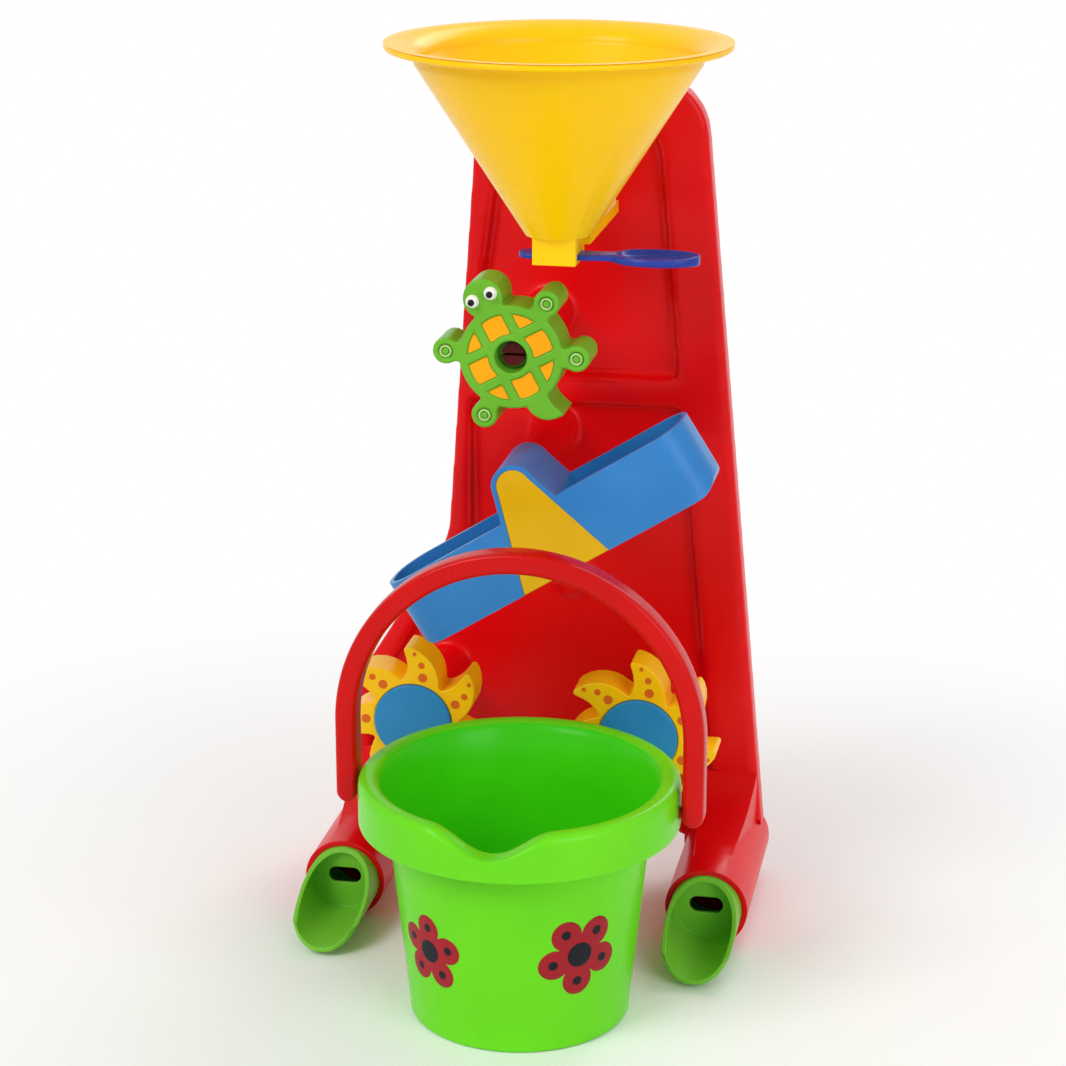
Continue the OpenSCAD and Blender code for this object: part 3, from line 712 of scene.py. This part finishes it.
@dataclass
class TurtleWheel:
    """The turtle with its shell patches, eyes and pale rings in the grooves of its legs, whose pale colour
    is a painted highlight.
    """

    edge_mm: float = 1.2
    leg_at: float = 32.0
    leg_angles: tuple[float, ...] = (57.0, 1.0, 177.0, 246.0)
    ring_r: float = 2.5
    bead_r: float = 0.5
    bead_sunk: float = 0.45

    def ring(self, name: str, angle_deg: float) -> bpy.types.Object:
        """One pale ring: a round bead about Y that lies level with the face of a leg, coloured as a painted
        highlight.

        Args:
            name: the piece's name.
            angle_deg: direction of the leg from the axle, from +X towards +Z.

        Returns:
            The closed bead.
        """
        low, high = (np.array(corner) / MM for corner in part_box("turtle_axle"))
        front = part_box("turtle_wheel")[0][1] / MM
        leg = math.radians(angle_deg)
        middle = np.array([
            (low[0] + high[0]) / 2 + self.leg_at * math.cos(leg),
            front + self.bead_sunk,
            (low[2] + high[2]) / 2 + self.leg_at * math.sin(leg)])
        turn = np.linspace(0.0, 2 * np.pi, 48, endpoint=False)[:, None]
        phi = np.linspace(0.0, 2 * np.pi, 12, endpoint=False)[None, :]
        r = self.ring_r + self.bead_r * np.cos(phi)
        y = self.bead_r * np.sin(phi) + 0.0 * turn
        grid = np.stack([r * np.cos(turn), y, r * np.sin(turn)], axis=-1)
        obj = mesh_object(name, *joined([((grid + middle) * MM, True, True)]))
        outward(obj)
        return obj

    def build(self) -> None:
        """Soften the turtle, dress its trim and lay the rings of painted highlight."""
        softened("turtle_wheel", TURTLE_GREEN, self.edge_mm, Body.TURTLE)
        for count, angle in enumerate(self.leg_angles):
            ring = self.ring(f"turtle_leg_highlight_ring_{count}", angle)
            dress(ring, RING_PAINTED_HIGHLIGHT)
            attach(ring, Body.TURTLE.value)
        dress(FRAME["nodes"]["turtle_pads"], PAD_ORANGE)
        dress(FRAME["nodes"]["turtle_eyes"], EYE_WHITE)
        dress(FRAME["nodes"]["turtle_pupils"], PUPIL_BLACK)


@dataclass
class Rocker:
    """The blue double trough with its yellow wedge."""

    edge_mm: float = 0.8
    wedge_edge_mm: float = 0.6

    def build(self) -> None:
        """Soften both pieces."""
        softened("rocker", ROCKER_BLUE, self.edge_mm, Body.ROCKER, held=True)
        softened("rocker_wedge", WEDGE_YELLOW, self.wedge_edge_mm, Body.ROCKER)


@dataclass
class StarWheel:
    """One yellow star wheel with its spots and blue cap."""

    side: str
    body: Body
    edge_mm: float = 0.7
    shortest_mm: float = 0.5
    cap_edge_mm: float = 0.8

    def build(self) -> None:
        """Soften the star and its cap, and dress the spots."""
        softened(
            self.side + "_star", STAR_YELLOW, self.edge_mm, self.body,
            shortest_mm=self.shortest_mm)
        softened(self.side + "_star_cap", CAP_BLUE, self.cap_edge_mm, self.body)
        dress(FRAME["nodes"][self.side + "_star_spots"], SPOT_ORANGE)


@dataclass
class Spout:
    """One green scoop."""

    side: str
    body: Body
    edge_mm: float = 0.6

    def build(self) -> None:
        """Soften the scoop."""
        softened(self.side + "_spout", SPOUT_GREEN, self.edge_mm, self.body)


@dataclass
class Pail:
    """The green pail with its pouring notch and printed flowers, and its red bail."""

    height: float = 120.0
    base_r: float = 53.0
    top_r: float = 63.0
    rim_r: float = 77.0
    band: float = 23.0
    wall: float = 2.4
    under: float = 1.2
    foot_w: float = 7.0
    foot_h: float = 5.0
    foot_flare: float = 0.4
    band_ease: float = 0.4
    floor_top: float = 6.4
    lip_w: float = 10.0
    hollow_top: float = 104.4
    notch_deep: float = 12.0
    notch_half: float = 33.0
    bail_down: float = 14.0
    bail_leg: float = 36.0
    bail_wide: float = 10.5
    bail_deep: float = 14.0
    bail_gap: float = 1.6
    bail_power: float = 0.42
    peg_r: float = 3.2
    peg_l: float = 12.4
    peg_chamfer: float = 0.6
    ink_sunk: float = 0.3
    turns: int = 256

    def centre(self) -> np.ndarray:
        """Middle of the pail's base in the shared frame, in metres."""
        low, high = (np.array(corner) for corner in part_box("bucket_handle"))
        return np.array([(low[0] + high[0]) / 2, (low[1] + high[1]) / 2, 0.0])

    def profile(self) -> np.ndarray:
        """The pail's section from the middle of its underside, over its rim, to its floor's middle.

        Each row is a corner's radius from the axis, its height and its rounding.
        """
        low = self.height - self.band
        foot_in = self.base_r - self.foot_w
        rows = np.array([
            [0.0, self.under, 0.0],
            [foot_in, self.under, 1.0],
            [foot_in, 0.0, 0.6],
            [self.base_r, 0.0, 1.5],
            [self.base_r + self.foot_flare, self.foot_h, 2.5],
            [self.top_r, low - self.band_ease, 1.0],
            [self.top_r + self.wall, low, 0.8],
            [self.top_r + self.wall, self.hollow_top, 1.2],
            [self.rim_r - self.wall, self.hollow_top, 1.2],
            [self.rim_r - self.wall, low, 1.1],
            [self.rim_r, low, 1.1],
            [self.rim_r, self.height, 7.5],
            [self.rim_r - self.lip_w, self.height, 5.0],
            [self.top_r, self.height - self.band / 2, 5.0],
            [self.top_r - self.wall, low, 8.0],
            [self.base_r - self.wall, self.floor_top, 9.0],
            [0.0, self.floor_top, 0.0]])
        return smooth_path(rows[:, :2], rows[:, 2], 7)

    def shell(self) -> bpy.types.Object:
        """Turn the section round the pail's axis and press the pouring notch into the rim.

        Above the band's hollow a point's height is scaled by one less the notch's share there,
        which falls from the front to nothing as half a cosine over notch_half of arc.
        """
        section = self.profile()
        turn = np.linspace(0.0, 2 * np.pi, self.turns, endpoint=False)
        away = np.abs((turn + np.pi / 2 + np.pi) % (2 * np.pi) - np.pi) * self.rim_r
        dip = 0.5 * (1 + np.cos(np.pi * np.clip(away / self.notch_half, 0.0, 1.0)))
        r, z = section[:, 0][:, None], section[:, 1][:, None]
        base = self.hollow_top + 1.0
        room = self.height - base
        sunk = base + (z - base) * (1.0 - self.notch_deep / room * dip[None, :])
        z = np.where(z > base, sunk, z + 0.0 * turn[None, :])
        grid = np.stack([r * np.cos(turn), r * np.sin(turn), z], axis=-1) * MM + self.centre()
        obj = mesh_object("pail_shell", *joined([(grid, False, True)]))
        outward(obj)
        return obj

    def paint_inside_light(self, shell: bpy.types.Object) -> None:
        """Give the faces that look into the pail a brighter green, which is painted light shining through
        the thin wall.
        """
        shell.data.materials.append(PAIL_INSIDE_PAINTED_LIGHT.build())
        faces = shell.data.polygons
        middle, normal = np.empty(len(faces) * 3), np.empty(len(faces) * 3)
        faces.foreach_get("center", middle)
        faces.foreach_get("normal", normal)
        middle, normal = middle.reshape(-1, 3) - self.centre(), normal.reshape(-1, 3)
        inward = np.einsum("ij,ij->i", middle[:, :2], normal[:, :2]) < 0
        bowl = np.linalg.norm(middle[:, :2], axis=1) < (self.rim_r - 9.0) * MM
        upward = (normal[:, 2] > 0.3) & (middle[:, 2] < self.height * 0.5 * MM)
        faces.foreach_set("material_index", (bowl & (inward | upward)).astype(np.int32))

    def strap(self) -> np.ndarray:
        """The bail's strap: a rounded oblong carried up one leg, over a half circle and down the other.

        The oblong is a superellipse, and it shrinks as a quarter circle over the last millimetres
        of each leg.
        """
        mid = self.rim_r + self.bail_gap + self.bail_wide / 2
        pivot = self.height - self.bail_down
        leg = self.bail_leg + self.bail_wide / 2
        length = 2 * leg + np.pi * mid
        end = self.bail_wide / 2
        ease = np.sin(np.linspace(0.0, np.pi / 2, 12))
        run = np.linspace(end, length - end, 150)[1:-1]
        s = np.concatenate([end * (1 - ease[::-1]), run, length - end * (1 - ease)])
        s[0], s[-1] = 0.0, length
        arc = np.clip((s - leg) / mid, 0.0, np.pi)
        x = -mid * np.cos(arc)
        climb = np.minimum(s, leg) - np.maximum(s - leg - np.pi * mid, 0.0)
        z = pivot - self.bail_wide / 2 + climb + mid * np.sin(arc)
        out_x, out_z = -np.cos(arc), np.sin(arc)
        near = np.clip(np.minimum(s, length - s) / end, 0.0, 1.0)
        shrink = np.sqrt(np.maximum(1 - (1 - near) ** 2, 0.0))
        phi = np.linspace(0.0, 2 * np.pi, 40, endpoint=False)
        across = squarish(np.cos(phi), self.bail_power) * self.bail_wide / 2
        depth = squarish(np.sin(phi), self.bail_power) * self.bail_deep / 2
        wide = across[None, :] * shrink[:, None]
        deep = depth[None, :] * (0.8 + 0.2 * shrink[:, None])
        side, up = x[:, None] + wide * out_x[:, None], z[:, None] + wide * out_z[:, None]
        return np.stack([side, deep, up], axis=-1)

    def peg(self, side: float) -> np.ndarray:
        """One pivot of the bail: a round pin with a chamfered end, turned about X."""
        mid = self.rim_r + self.bail_gap + self.bail_wide / 2
        straight, nose = self.peg_l - self.peg_chamfer, self.peg_r - self.peg_chamfer
        along = mid - np.array([0.0, 0.0, straight, self.peg_l, self.peg_l])
        radius = np.array([0.0, self.peg_r, self.peg_r, nose, 0.0])[:, None]
        phi = np.linspace(0.0, 2 * np.pi, 36, endpoint=False)
        x = side * np.repeat(along[:, None], phi.size, axis=1)
        z = self.height - self.bail_down + radius * np.sin(phi)
        return np.stack([x, radius * np.cos(phi), z], axis=-1)

    def bail(self) -> bpy.types.Object:
        """Join the strap and its two pivots."""
        grids = [(self.strap() * MM + self.centre(), False, True)]
        grids += [(self.peg(side) * MM + self.centre(), False, True) for side in (-1.0, 1.0)]
        obj = mesh_object("bail_strap", *joined(grids))
        outward(obj)
        return obj

    def wall_r(self, z: np.ndarray) -> np.ndarray:
        """Outer radius of the pail's wall at a height."""
        foot = self.base_r + self.foot_flare
        rise = self.height - self.band - self.band_ease - self.foot_h
        return foot + (self.top_r - foot) * (z - self.foot_h) / rise

    def printed(
        self, name: str, turn_deg: float, z: float, outline: np.ndarray, proud: float
    ) -> bpy.types.Object:
        """Lay a flat printed shape on the pail's wall.

        Args:
            name: the piece's name.
            turn_deg: place round the pail, from the front towards +X.
            z: height of the shape's middle.
            outline: closed n by 2 outline about its middle.
            proud: how far the ink stands off the wall.

        Returns:
            A thin closed sheet that follows the wall.
        """
        share = np.linspace(0.0, 1.0, 10)[:, None, None]
        flat = outline[None, :, :] * share
        height = z + flat[..., 1]
        turn = math.radians(turn_deg - 90.0) + flat[..., 0] / self.wall_r(height)
        layers = []
        for lift in (proud, -self.ink_sunk):
            r = self.wall_r(height) + lift
            layers.append(np.stack([r * np.cos(turn), r * np.sin(turn), height], axis=-1))
        grid = np.concatenate([layers[0], layers[1][::-1]])
        obj = mesh_object(name, *joined([(grid * MM + self.centre(), False, True)]))
        outward(obj)
        return obj

    def flower(
        self, name: str, turn_deg: float, z: float, size: float, tilt: float
    ) -> list[bpy.types.Object]:
        """Print a five-petalled flower with a dark ring of dots round its heart.

        Args:
            name: start of the pieces' names.
            turn_deg: place round the pail, from the front towards +X.
            z: height of its heart.
            size: radius of its petals.
            tilt: direction of its first petal, in radians.

        Returns:
            The petals, the heart and the dots.
        """
        phi = np.linspace(0.0, 2 * np.pi, 160, endpoint=False)
        circle = np.stack([np.cos(phi), np.sin(phi)], axis=-1)
        petal = size * (0.50 + 0.50 * np.abs(np.cos(2.5 * (phi - tilt))) ** 0.6)
        pieces = [self.printed(name + "_petals", turn_deg, z, petal[:, None] * circle, 0.10)]
        dot = circle[::4]
        pieces.append(self.printed(name + "_heart", turn_deg, z, dot * size * 0.3, 0.22))
        for k in range(5):
            a = tilt + 2 * np.pi * k / 5
            shift = size * 0.66 * np.array([math.cos(a), math.sin(a)])
            spot_turn = turn_deg + math.degrees(shift[0] / self.wall_r(np.array(z + shift[1])))
            spot = dot * size * 0.11
            pieces.append(self.printed(f"{name}_spot_{k}", spot_turn, z + shift[1], spot, 0.2))
        return pieces

    def build(self) -> None:
        """Build the pail, its prints and its bail."""
        shell = self.shell()
        dress(shell, PAIL_GREEN)
        self.paint_inside_light(shell)
        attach(shell, Body.PAIL.value)
        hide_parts("bucket")
        bail = self.bail()
        dress(bail, BAIL_RED)
        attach(bail, Body.BAIL.value)
        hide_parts("bucket_handle")
        prints = self.flower("flower_left", -36.0, 46.0, 19.0, 0.3)
        prints += self.flower("flower_right", 40.0, 50.0, 21.0, 0.9)
        for piece in prints:
            dress(piece, PRINT_RED if piece.name.endswith("petals") else PRINT_DARK)
            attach(piece, Body.PAIL.value)


def main() -> None:
    """Build the studio and every sub-assembly, and log each as it is built."""
    logging.basicConfig(level=logging.INFO, format="%(message)s")
    Studio().build()
    for part in (
        Stand(), Hopper(), TurtleWheel(), Rocker(),
        StarWheel("left", Body.STAR_LEFT), StarWheel("right", Body.STAR_RIGHT),
        Spout("left", Body.SPOUT_LEFT), Spout("right", Body.SPOUT_RIGHT), Pail(),
    ):
        part.build()
        LOG.info("%s built", type(part).__name__)


if __name__ == "__main__":
    main()
